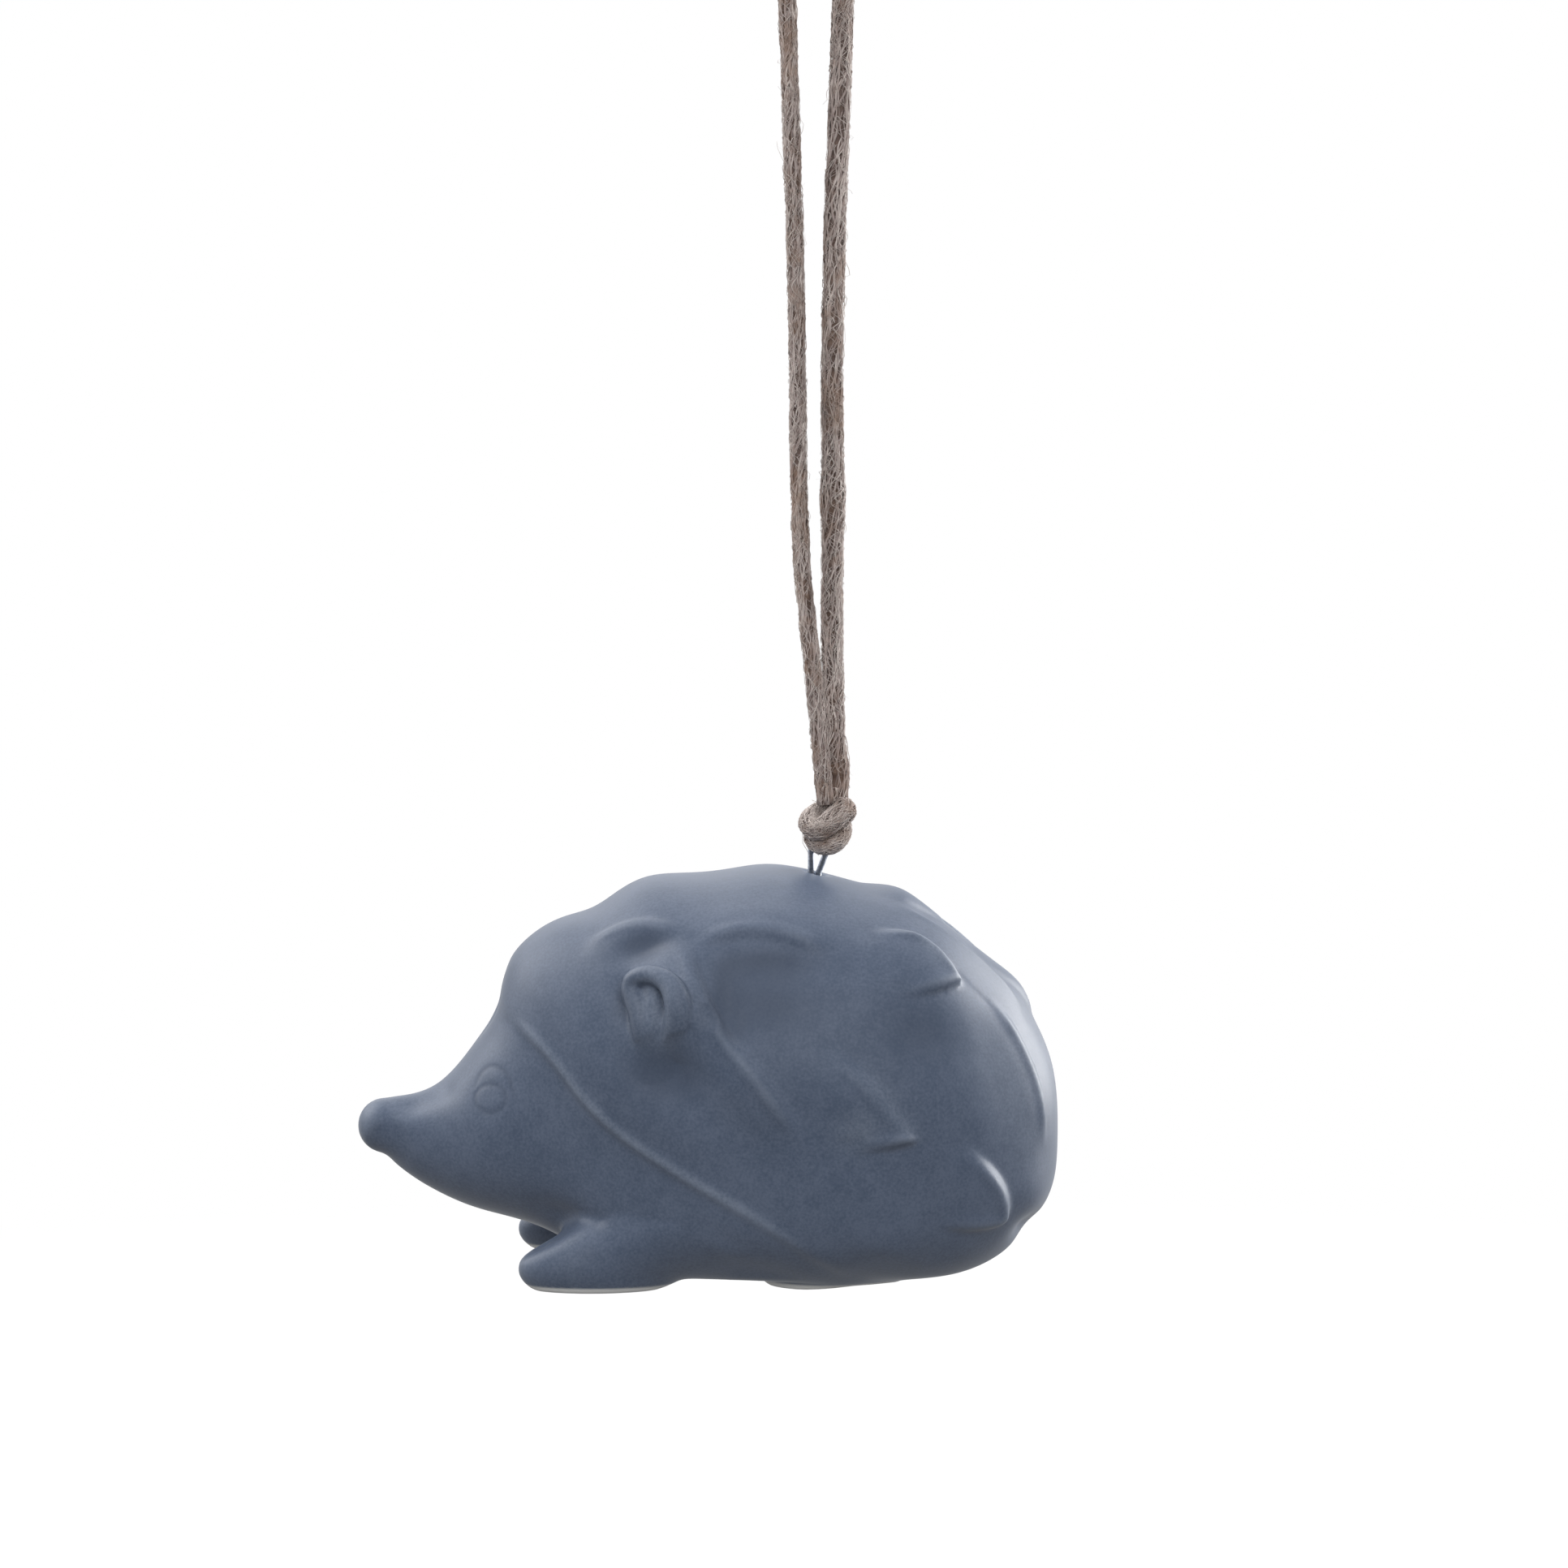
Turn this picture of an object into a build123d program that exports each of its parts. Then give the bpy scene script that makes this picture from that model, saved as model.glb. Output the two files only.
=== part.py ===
from build123d import *
import math
import os

# Hanging ceramic hedgehog, in millimetres. The origin is the inside of the twine loop's top bend, where a hook
# carries it. Z is up and the nose points along -X. The body is drawn with its soles at height 0 and its
# hanging hole at X 0, and is then moved down under the loop.

# Ceramic body
body_length = 70.7
body_height = 41.0
body_width = 40.0
hole_place_share = 0.6535
nose_diameter = 5.6
hole_diameter = 2.0
vent_diameter = 2.4
roundness_above = 2.2
ring_points = 10
end_speed_share = 3.45

# Ears, eyes, paws and feet
ear_width = 7.0
ear_height = 9.2
ear_thickness = 4.4
ear_turn = 38.0
ear_lean = 14.0
ear_hollow_width = 3.0
ear_hollow_height = 5.2
ear_hollow_forward = 0.9
ear_hollow_raised = 0.8
ear_hollow_tilt = 22.0
ear_pocket_width = 12.0
ear_pocket_height = 13.0
ear_pocket_depth = 1.3
eye_diameter = 2.7
eye_proud = 0.35
lid_diameter = 4.2
lid_thickness = 0.7
paw_length = 20.0
paw_width = 7.8
paw_thickness = 9.0
paw_tilt = 9.0
paw_spacing = 21.0
foot_length = 14.0
foot_width = 8.4
foot_height = 3.6
foot_spacing = 17.6

# Tufts
tuft_width = 8.5
tuft_depth = 3.0
tuft_proud = 0.5

# Wire hairpin
wire_diameter = 0.6
wire_gap_to_strand = 0.1
leg_spacing = 0.76
leg_reach = 5.0
leg_splay = 38.0
leg_bend_radius = 0.8
leg_bend_below_ceiling = 0.4
least_turn = 1.0
eye_rise = 4.2
eye_lean = 0.75

# Twine
twine_diameter = 1.8
twine_eye_diameter = 1.5
hook_diameter = 4.0
loop_rise = 85.8
knot_size = 5.8
knot_slot = 1.2
knot_slot_gap = 0.3
strand_offset = 0.95

# Rows of the back: along the length, top, girth height and bottom as shares of the height, half width as a share
# of the width, and how square the lower half is. The first and last rows are the rounded ends.
MANTLE_SHARES = [
    (0.202, 0.690, 0.690, 0.690, 0.0, 2.2),
    (0.208, 0.741, 0.671, 0.622, 0.080, 2.2),
    (0.225, 0.790, 0.622, 0.512, 0.165, 2.3),
    (0.272, 0.859, 0.512, 0.317, 0.270, 2.5),
    (0.342, 0.914, 0.451, 0.171, 0.355, 2.8),
    (0.441, 0.975, 0.427, 0.066, 0.430, 3.3),
    (0.512, 0.985, 0.427, 0.028, 0.464, 3.6),
    (0.583, 0.995, 0.427, 0.012, 0.487, 3.8),
    (0.724, 0.950, 0.415, 0.010, 0.500, 3.8),
    (0.837, 0.858, 0.390, 0.014, 0.464, 3.5),
    (0.922, 0.724, 0.378, 0.060, 0.368, 2.8),
    (0.976, 0.590, 0.366, 0.152, 0.252, 2.4),
    (0.996, 0.480, 0.361, 0.230, 0.132, 2.2),
    (1.000, 0.361, 0.361, 0.361, 0.0, 2.2),
]

# Rows of the head, chest and belly, read the same way. Behind the neck they run a step inside the back.
HEAD_SHARES = [
    (0.042, 0.430, 0.364, 0.298, 0.066, 2.0),
    (0.081, 0.443, 0.341, 0.233, 0.105, 2.0),
    (0.130, 0.488, 0.332, 0.186, 0.150, 2.1),
    (0.181, 0.598, 0.341, 0.154, 0.205, 2.2),
    (0.243, 0.712, 0.366, 0.126, 0.252, 2.4),
    (0.303, 0.765, 0.400, 0.080, 0.298, 2.9),
    (0.342, 0.790, 0.415, 0.046, 0.334, 3.4),
    (0.441, 0.800, 0.427, 0.014, 0.411, 4.2),
    (0.583, 0.780, 0.427, 0.012, 0.467, 4.4),
    (0.700, 0.740, 0.415, 0.018, 0.476, 4.4),
    (0.780, 0.680, 0.400, 0.036, 0.462, 4.0),
]

# Rows of the hollow, read the same way. It reaches into the head and leaves the rump thick, so the body hangs level.
CAVITY_SHARES = [
    (0.095, 0.332, 0.332, 0.332, 0.0, 2.2),
    (0.110, 0.395, 0.332, 0.268, 0.060, 2.2),
    (0.185, 0.545, 0.345, 0.212, 0.160, 2.2),
    (0.243, 0.725, 0.365, 0.180, 0.195, 2.3),
    (0.300, 0.815, 0.390, 0.145, 0.240, 2.4),
    (0.370, 0.860, 0.415, 0.110, 0.300, 2.6),
    (0.480, 0.905, 0.427, 0.085, 0.370, 2.8),
    (0.595, 0.922, 0.427, 0.080, 0.408, 3.0),
    (0.690, 0.880, 0.427, 0.095, 0.390, 3.0),
    (0.758, 0.750, 0.427, 0.180, 0.300, 2.6),
    (0.780, 0.610, 0.440, 0.305, 0.180, 2.2),
    (0.788, 0.460, 0.460, 0.460, 0.0, 2.2),
]

# The hem of the spiny back over the face and the belly, seen from the side.
HEM_SHARES = [(0.150, 0.790), (0.208, 0.662), (0.303, 0.515), (0.394, 0.376), (0.487, 0.262), (0.591, 0.143),
              (0.707, 0.046), (0.770, -0.060)]

# Tufts on one flank: tip along the length, tip round the back in degrees from the ridge, root along the length,
# root round the back, width share, and how blunt the tip is as a share of that width.
FLANK_TUFT_SHARES = [
    (0.845, 45.0, 0.700, 37.0, 1.05, 0.14),
    (0.655, 47.0, 0.480, 36.0, 1.00, 0.16),
    (0.779, 90.0, 0.648, 76.0, 1.15, 0.10),
    (0.912, 112.0, 0.775, 98.0, 1.10, 0.34),
    (0.588, 87.0, 0.480, 46.0, 0.95, 0.20),
    (0.973, 84.0, 0.885, 48.0, 1.20, 0.18),
]
RIDGE_TUFT_SHARES = [
    (0.838, 0.0, 0.690, 0.0, 1.25, 0.30),
    (0.962, 0.0, 0.850, 0.0, 1.30, 0.30),
]
TUFT_ROW_SHARES = [(0.0, 0.0, 0.72), (0.14, 0.42, 1.0), (0.42, 0.88, 0.80), (0.72, 1.0, 0.25), (1.0, 0.9, -0.75)]

# Places of the small features on the back and on the head: along the length and degrees from the ridge.
EAR_PLACE_SHARE = (0.424, 61.5)
POCKET_PLACE_SHARE = (0.420, 56.0)
EYE_PLACE_SHARE = (0.191, 66.5)
PAW_PLACE_SHARES = (0.366, 0.088)
FOOT_PLACE_SHARE = 0.672
VENT_PLACE_SHARE = 0.540

# Turning points of the two strands: height above the knot's eye as a share of the loop's rise, and sideways and
# forward places as shares of the hook's and the strands' spacing.
LEFT_STRAND_SHARES = [(0.033, 0.36, -1.0), (0.200, -0.10, -1.0), (0.345, -0.58, -0.6), (0.600, -0.60, 0.0)]
RIGHT_STRAND_SHARES = [(0.033, 0.78, 1.0), (0.210, 0.58, 1.0), (0.370, 0.64, 0.6), (0.600, 0.57, 0.0)]

# Lobes of the knot: sideways, forward and height places and radius, as shares of the knot's size.
LOBE_SHARES = [(-0.21, -0.05, 0.12, 0.30), (0.26, 0.05, 0.27, 0.29), (-0.02, 0.0, -0.17, 0.36), (0.05, 0.0, 0.12, 0.36)]
BAND_SHARES = [(-0.27, -0.22, -0.20), (0.28, -0.22, 0.26)]
band_radius_share = 0.17
knot_place_share = (0.10, 0.08)
arc_share = 0.45


def along(share):
    """Distance from the hanging hole, for a share of the body's length from the nose."""
    return (share - hole_place_share) * body_length


def row_at(rows, x_share):
    """The row of a table at any place along it, on a smooth curve through its rows."""
    last = len(rows) - 2
    k = 0
    while k < last and x_share > rows[k + 1][0]:
        k += 1
    span = rows[k + 1][0] - rows[k][0]
    t = (x_share - rows[k][0]) / span
    found = [x_share]
    for c in range(1, len(rows[0])):
        slopes = []
        for j in (k, k + 1):
            a = max(j - 1, 0)
            b = min(j + 1, len(rows) - 1)
            slopes.append((rows[b][c] - rows[a][c]) / (rows[b][0] - rows[a][0]) * span)
        p, q = rows[k][c], rows[k + 1][c]
        found.append(p + slopes[0] * t + (3 * (q - p) - 2 * slopes[0] - slopes[1]) * t ** 2
                     + (2 * (p - q) + slopes[0] + slopes[1]) * t ** 3)
    return tuple(found)


def ring_point(row, degrees):
    """A point of a cross-section, `degrees` round from the ridge towards the -Y flank."""
    x_share, top, girth, bottom, half, squareness = row
    side = math.sin(math.radians(degrees))
    rise = math.cos(math.radians(degrees))
    power = 2 / (roundness_above if rise >= 0 else squareness)
    reach = (top - girth if rise >= 0 else girth - bottom) * body_height
    y = -math.copysign(abs(side) ** power, side) * half * body_width
    z = girth * body_height + math.copysign(abs(rise) ** power, rise) * reach
    return Vector(along(x_share), y, z)


def ring(row):
    sides = []
    for start in (0, 180):
        steps = [k / ring_points for k in range(ring_points + 1)]
        points = [ring_point(row, start + 180 * step) for step in steps]
        level = Vector(0, 1 if start else -1, 0) * row[4] * body_width * end_speed_share
        sides.append(Edge.make_spline(points, tangents=[level, -level], parameters=steps, scale=False))
    return Wire(sides)


def rounded_loft(rows):
    """A loft through rows whose first and last are its rounded ends."""
    ends = [Vertex(along(row[0]), 0, row[2] * body_height) for row in (rows[0], rows[-1])]
    return Solid.make_loft([ends[0]] + [ring(row) for row in rows[1:-1]] + [ends[1]])


def egg():
    """The rounded back as a whole."""
    return rounded_loft(MANTLE_SHARES)


def cavity():
    return rounded_loft(CAVITY_SHARES)


def place_on(rows, x_share, degrees):
    """A plane on a surface: origin on it, Z outward, X towards the rump along the surface."""
    step = 0.004
    here = ring_point(row_at(rows, x_share), degrees)
    rear = ring_point(row_at(rows, x_share + step), degrees) - here
    round_about = ring_point(row_at(rows, x_share), degrees + step * 360) - here
    outward = rear.cross(round_about).normalized()
    away = Vector(0, here.Y, here.Z - row_at(rows, x_share)[2] * body_height)
    if outward.dot(away) < 0:
        outward = -outward
    return Plane(origin=here, x_dir=rear, z_dir=outward)


def ellipsoid(length, width, height):
    return scale(Sphere(length / 2), by=(1, width / length, height / length))


def hem_region():
    """Everything behind the hem."""
    points = [Vector(along(x), 0, z * body_height) for x, z in HEM_SHARES]
    curve = Spline(*points)
    far = Vector(along(1.0) + body_width, 0, points[-1].Z)
    high = Vector(far.X, 0, body_height * 2)
    front = Vector(points[0].X, 0, high.Z)
    rest = Polyline(points[-1], far, high, front, points[0])
    return extrude(make_face([curve, rest]), body_width, both=True)


def head():
    """Snout, face and chest, with the ball of the nose."""
    snout = Solid.make_loft([ring(row) for row in HEAD_SHARES])
    tip = Pos(nose_diameter / 2 - hole_place_share * body_length, 0, HEAD_SHARES[0][2] * body_height)
    return snout.fuse(tip * Sphere(nose_diameter / 2))


def tuft(row):
    """One leaf-shaped tuft: a domed body that follows the back and rises out of it towards its tip."""
    tip_x, tip_round, root_x, root_round, share, blunt = row
    places = []
    for part_way, wide, high in TUFT_ROW_SHARES:
        x_share = tip_x + (root_x - tip_x) * part_way
        places.append(place_on(MANTLE_SHARES, x_share, tip_round + (root_round - tip_round) * part_way))
    run = (places[-1].origin - places[0].origin).normalized()
    faces = []
    for place, (part_way, wide, high) in zip(places, TUFT_ROW_SHARES):
        middle = place.origin + place.z_dir * (high * tuft_proud - tuft_depth / 2)
        plane = Plane(origin=middle, x_dir=place.z_dir.cross(run), z_dir=run)
        faces.append(plane * Ellipse(share * max(wide, blunt) * tuft_width / 2, tuft_depth / 2))
    return loft(faces)


def ear_plane():
    """A plane at the ear, looking out of its hollow: outward from the flank, turned to the front and up."""
    place = place_on(MANTLE_SHARES, *EAR_PLACE_SHARE)
    facing = Vector(0, -1, 0).rotate(Axis.Z, -ear_turn).rotate(Axis.X, -ear_lean)
    return Plane(origin=place.origin, x_dir=Vector(0, 0, 1).cross(facing), z_dir=facing)


def ear():
    plane = ear_plane()
    shell = plane * ellipsoid(ear_width, ear_height, ear_thickness)
    scoop = Rot(-ear_hollow_tilt, 0, 0) * ellipsoid(ear_hollow_width, ear_hollow_height, ear_thickness)
    return shell - plane * Pos(-ear_hollow_forward, ear_hollow_raised, ear_thickness / 2) * scoop


def ear_pocket():
    """The dished hollow of the back in which the ear stands."""
    place = place_on(MANTLE_SHARES, *POCKET_PLACE_SHARE)
    dish = ellipsoid(ear_pocket_width, ear_pocket_height, ear_pocket_depth * 3)
    return place * Pos(0, 0, ear_pocket_depth / 2) * dish


def eye():
    """A low button with a lid over its rear upper side."""
    place = place_on(HEAD_SHARES, *EYE_PLACE_SHARE)
    button = place * ellipsoid(eye_diameter, eye_diameter, eye_proud * 2)
    arc = CenterArc((0, 0), lid_diameter / 2, -30, 170)
    lid = sweep(Plane(origin=arc @ 0, z_dir=arc % 0) * Circle(lid_thickness / 2), path=arc)
    return [button, place * lid]


def paw():
    tilt = Rot(0, -paw_tilt, 0) * ellipsoid(paw_length, paw_width, paw_thickness)
    return Pos(along(PAW_PLACE_SHARES[0]), -paw_spacing / 2, PAW_PLACE_SHARES[1] * body_height) * tilt


def foot():
    return Pos(along(FOOT_PLACE_SHARE), -foot_spacing / 2, foot_height / 4) * ellipsoid(
        foot_length, foot_width, foot_height * 1.5)


def height_at_hole(solid):
    """Height of a solid's top over the hanging hole."""
    up = Line((0, 0, body_height / 2), (0, 0, body_height * 2))
    return max(point.Z for point in (up & solid).vertices())


def ceramic_body():
    both = Plane.XZ
    flank = [tuft(row) for row in FLANK_TUFT_SHARES] + [ear(), paw(), foot()] + eye()
    flank = [piece.solid() for piece in flank]
    flank += [mirror(piece, about=both).solid() for piece in flank]
    pocket = ear_pocket()
    back = egg() & hem_region()
    shell = head().fuse(back.solid())
    shell = Part(shell.wrapped) - [pocket, mirror(pocket, about=both)]
    ridge = [tuft(row).solid() for row in RIDGE_TUFT_SHARES]
    body = shell.solid().fuse(*flank, *ridge)
    under = Pos(0, 0, -body_height / 2) * Box(body_length * 2, body_width * 2, body_height)
    hole = Pos(0, 0, body_height) * Cylinder(hole_diameter / 2, body_height / 2)
    vent = Pos(along(VENT_PLACE_SHARE), 0, 0) * Cylinder(vent_diameter / 2, body_height / 2)
    return Part(body.wrapped) - [under, cavity(), hole, vent]


def wire_hanger(top, ceiling):
    """The hairpin, in the XZ plane: a bend round the strand, two legs down the hole, their ends spread inside."""
    bend = twine_eye_diameter / 2 + wire_gap_to_strand + wire_diameter / 2
    eye_at = Vector(eye_lean, 0, top + eye_rise)
    left_hole = Vector(-leg_spacing / 2, 0, top)
    right_hole = Vector(leg_spacing / 2, 0, top)
    turn_height = ceiling - leg_bend_below_ceiling

    def tangent(point, way):
        toward = point - eye_at
        angle = math.degrees(math.acos(bend / toward.length))
        return eye_at + toward.normalized().rotate(Axis.Y, way * angle) * bend

    def leg(start, hole, way):
        turn = Vector(hole.X, 0, turn_height)
        reach = Vector(way * math.sin(math.radians(leg_splay)), 0, -math.cos(math.radians(leg_splay)))
        corners = [start, hole, turn, turn + reach * leg_reach]
        if (hole - start).get_angle(turn - hole) < least_turn:
            corners.remove(hole)
        return FilletPolyline(*corners, radius=leg_bend_radius)

    left, right = tangent(left_hole, 1), tangent(right_hole, -1)
    over = ThreePointArc(left, eye_at + Vector(0, 0, bend), right)
    edges = leg(left, left_hole, -1).edges() + over.edges() + leg(right, right_hole, 1).edges()
    path = Wire(edges)
    start = path @ 0
    return sweep(Plane(origin=start, z_dir=path % 0) * Circle(wire_diameter / 2), path=path)


def strand_points(rows, eye_at):
    reach = hook_diameter / 2 + twine_diameter / 2
    return [eye_at + Vector(x * reach - eye_lean, y * strand_offset, z * loop_rise) for z, x, y in rows]


def twine_loop(eye_at):
    """The twine from the knot, over the hook and back: straight runs and the arcs between them."""
    reach = hook_diameter / 2 + twine_diameter / 2
    left = strand_points(LEFT_STRAND_SHARES, eye_at)
    right = strand_points(RIGHT_STRAND_SHARES, eye_at)
    crown = eye_at.Z + loop_rise + twine_diameter / 2
    points = left + [Vector(-reach, 0, crown), Vector(reach, 0, crown)] + right[::-1]
    radii = []
    for before, here, after in zip(points, points[1:], points[2:]):
        turn = math.radians((here - before).get_angle(after - here))
        radii.append(arc_share * min((here - before).length, (after - here).length) / math.tan(turn / 2))
    path = FilletPolyline(*points, radius=radii)
    tube = sweep(Plane(origin=path @ 0, z_dir=path % 0) * Circle(twine_diameter / 2), path=path)
    section = math.pi * twine_diameter ** 2 / 4
    print("twine radii", [round(r, 1) for r in radii], "length", round(path.length, 1),
          "volume", round(tube.volume, 2), "section x length", round(section * path.length, 2))
    return tube


def twine_knot(eye_at):
    """The knot's lobes, parted for the wire, with the strand through the wire's bend."""
    lobes = []
    for x, y, z, radius in LOBE_SHARES:
        lobes.append(Pos(x * knot_size, y * knot_size, z * knot_size) * Sphere(radius * knot_size))
    ends = [Vector(x, y, z) * knot_size for x, y, z in BAND_SHARES]
    band = band_radius_share * knot_size
    run = Plane(origin=ends[0], z_dir=ends[1] - ends[0])
    lobes.append(run * Cylinder(band, (ends[1] - ends[0]).length, align=(Align.CENTER, Align.CENTER, Align.MIN)))
    lobes += [Pos(*end) * Sphere(band) for end in ends]
    knot = lobes[0].fuse(*lobes[1:])
    knot = Pos(*eye_at) * Pos(knot_place_share[0] * knot_size, 0, knot_place_share[1] * knot_size) * knot
    clear = twine_eye_diameter / 2 + wire_gap_to_strand + wire_diameter + knot_slot_gap
    disc = Rot(90, 0, 0) * Cylinder(clear, knot_slot)
    below = Pos(0, 0, -knot_size / 2) * Box(knot_size * 2, knot_slot, knot_size)
    strand = Rot(90, 0, 0) * Cylinder(twine_eye_diameter / 2, knot_slot * 2)
    return knot - [Pos(*eye_at) * disc, Pos(*eye_at) * below] + Pos(*eye_at) * strand


def main():
    os.makedirs("parts", exist_ok=True)
    body = ceramic_body()
    top, ceiling = height_at_hole(egg()), height_at_hole(cavity())
    eye_at = Vector(eye_lean, 0, top + eye_rise)
    nodes = {
        "ceramic_body": body,
        "wire_hanger": wire_hanger(top, ceiling),
        "twine_loop": twine_loop(eye_at),
        "twine_knot": twine_knot(eye_at),
    }
    hang = Pos(0, 0, -(eye_at.Z + loop_rise))
    print("hole top", round(top, 3), "ceiling", round(ceiling, 3), "hang height", round(eye_at.Z + loop_rise, 3))
    for name, shape in nodes.items():
        placed = hang * shape
        centre = placed.center(CenterOf.MASS)
        print(name, "valid", placed.is_valid, "solids", len(placed.solids()), "volume", round(placed.volume, 1),
              "centre", round(centre.X, 3), round(centre.Y, 3), round(centre.Z, 3))
        export_step(placed, f"parts/{name}.step")


if __name__ == "__main__":
    main()
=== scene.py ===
import math
import random

import bmesh
import bpy
import numpy as np
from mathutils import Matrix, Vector
from mathutils.bvhtree import BVHTree


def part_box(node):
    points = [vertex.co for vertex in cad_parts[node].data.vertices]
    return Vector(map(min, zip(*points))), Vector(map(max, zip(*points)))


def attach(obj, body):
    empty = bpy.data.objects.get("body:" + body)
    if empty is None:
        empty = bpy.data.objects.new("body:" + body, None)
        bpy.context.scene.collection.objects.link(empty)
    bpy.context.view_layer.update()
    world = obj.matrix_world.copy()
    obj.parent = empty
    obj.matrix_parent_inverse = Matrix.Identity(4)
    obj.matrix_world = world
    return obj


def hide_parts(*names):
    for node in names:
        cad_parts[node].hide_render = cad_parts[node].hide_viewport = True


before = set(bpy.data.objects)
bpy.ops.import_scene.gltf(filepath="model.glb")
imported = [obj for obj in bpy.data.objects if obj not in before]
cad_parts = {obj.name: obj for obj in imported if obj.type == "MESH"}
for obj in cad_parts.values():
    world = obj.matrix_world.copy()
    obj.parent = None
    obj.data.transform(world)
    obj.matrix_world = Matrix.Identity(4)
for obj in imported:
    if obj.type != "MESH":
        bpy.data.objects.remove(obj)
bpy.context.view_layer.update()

mm = 0.001

# The photograph's view of the ornament
image_side = 1932
focal_pixels = 6120
sensor_width = 36.0
near_clip = 0.01
far_clip = 50
view_distance = 500 * mm
view_azimuth = math.radians(3.0)
view_elevation = math.radians(6.0)
view_target = Vector((-3.1 * mm, 0, -81.0 * mm))
view_ahead = Vector((math.sin(view_azimuth) * math.cos(view_elevation),
                     math.cos(view_azimuth) * math.cos(view_elevation),
                     -math.sin(view_elevation)))
view_turn = view_ahead.to_track_quat("-Z", "Y")
view_place = view_target - view_ahead * view_distance

# Height of the bare soles, and the place in the ceramic that the lamps aim at
sole_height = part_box("ceramic_body")[0].z
lamp_aim = view_target + Vector((0, 0, -30 * mm))

# Route of the twine loop in metres: from the knot up the left strand, over the hook and down on the right
LOOP_ROUTE = [
    (0.00104, -0.00095, -0.08297),
    (-0.00029, -0.00095, -0.06864),
    (-0.00168, -0.00057, -0.05620),
    (-0.00174, 0.0, -0.03430),
    (-0.00251, 0.0, -0.01080),
    (-0.00271, 0.0, -0.00490),
    (-0.00285, 0.0, -0.00072),
    (-0.00120, 0.0, 0.00095),
    (0.00120, 0.0, 0.00095),
    (0.00285, 0.0, -0.00072),
    (0.00269, 0.0, -0.00490),
    (0.00248, 0.0, -0.01080),
    (0.00165, 0.0, -0.03430),
    (0.00186, 0.00057, -0.05405),
    (0.00168, 0.00095, -0.06778),
    (0.00226, 0.00095, -0.08297),
]

# The strands differ in thickness, which changes over the hook, between two shares of the loop's length
left_radius = 0.83 * mm
right_radius = 1.08 * mm
THICKENING = (0.42, 0.58)

# Bulges of the right strand: height in metres, swell as a share of the radius, and spread in metres
BULGES = [(-0.0525, 0.16, 0.0028), (-0.0798, 0.30, 0.0026)]

# Build of the twine, and of its loop
twine_seed = 7
twine_pitch = 15 * mm
twine_fibres = 44
loop_fineness = 28
loop_wander = 0.75
loop_hairs = 1100

# Dark core of the twine, a painted shade that shows between the fibres: its size as a share of the strand's
# radius
core_share = 0.80
core_sides = 10
core_shade_tone = 0.05

# Groove between the two plies: depth as a share of the radius, half width, and how it wanders round
ply_groove_depth = 0.13
ply_groove_width = 0.42
ply_wander = 0.9
PLY_WAVES = (19 * mm, 37 * mm)

# Fibres: the share of the plies' twist that they follow, their lift as a share of the strand's radius,
# their own radii in millimetres, and the two values of the spread of their tones
fibre_twist = 0.35
FIBRE_WAVES = (5 * mm, 9 * mm, 17 * mm)
fibre_lift = 0.06
LIFT_WAVES = (3 * mm, 8 * mm)
FIBRE_RADII = (0.04, 0.12)
fibre_unevenness = 0.4
RADIUS_WAVES = (4 * mm, 9 * mm)
fibre_sides = 5
FIBRE_TONES = (3.0, 2.8)
streak_stagger = 5.0

# Hairs: lengths, lifts off the strand and radii in millimetres, and sweep and wave round it in radians
hair_points = 10
HAIR_LENGTHS = (2.0, 7.0)
hair_sweep = 2.4
hair_wave = 0.8
HAIR_TURNS = (0.6, 2.6)
loose_share = 0.03
LOOSE_LIFTS = (0.2, 0.8)
LAID_LIFTS = (0.02, 0.13)
HAIR_RADII = (0.026, 0.056)
hair_taper = 0.6
hair_sides = 3
HAIR_TONES = (0.62, 1.0)


def added(name, data):
    """A new object in the scene."""
    thing = bpy.data.objects.new(name, data)
    bpy.context.scene.collection.objects.link(thing)
    return thing


def smooth_line(route, fineness):
    """Points along a smooth curve that has the route's points as its controls."""
    curve = bpy.data.curves.new("line", "CURVE")
    curve.dimensions = "3D"
    curve.resolution_u = fineness
    spline = curve.splines.new("NURBS")
    spline.points.add(len(route) - 1)
    for point, place in zip(spline.points, route):
        point.co = (*place, 1)
    spline.order_u = 3
    spline.use_endpoint_u = True
    holder = added("line", curve)
    bpy.context.view_layer.update()
    mesh = bpy.data.meshes.new_from_object(holder)
    points = np.array([vertex.co for vertex in mesh.vertices])
    bpy.data.objects.remove(holder)
    bpy.data.curves.remove(curve)
    bpy.data.meshes.remove(mesh)
    return points


def unit(vectors):
    return vectors / np.linalg.norm(vectors, axis=-1, keepdims=True)


def ramp(values, low, high):
    """0 below low and 1 above high, with a smooth rise between them."""
    share = np.clip((values - low) / (high - low), 0, 1)
    return share * share * (3 - 2 * share)


def frames_along(line):
    """Distance along a line, and two directions square to it that turn no more than the line does."""
    steps = np.linalg.norm(np.diff(line, axis=0), axis=1)
    run = np.concatenate([[0], np.cumsum(steps)])
    forward = unit(np.gradient(line, axis=0))
    across = np.zeros_like(line)
    side = np.cross(forward[0], (0.0, 1.0, 0.0))
    for k, ahead in enumerate(forward):
        side = side - ahead * (side @ ahead)
        side = side / np.linalg.norm(side)
        across[k] = side
    return run, across, np.cross(forward, across)


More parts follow.
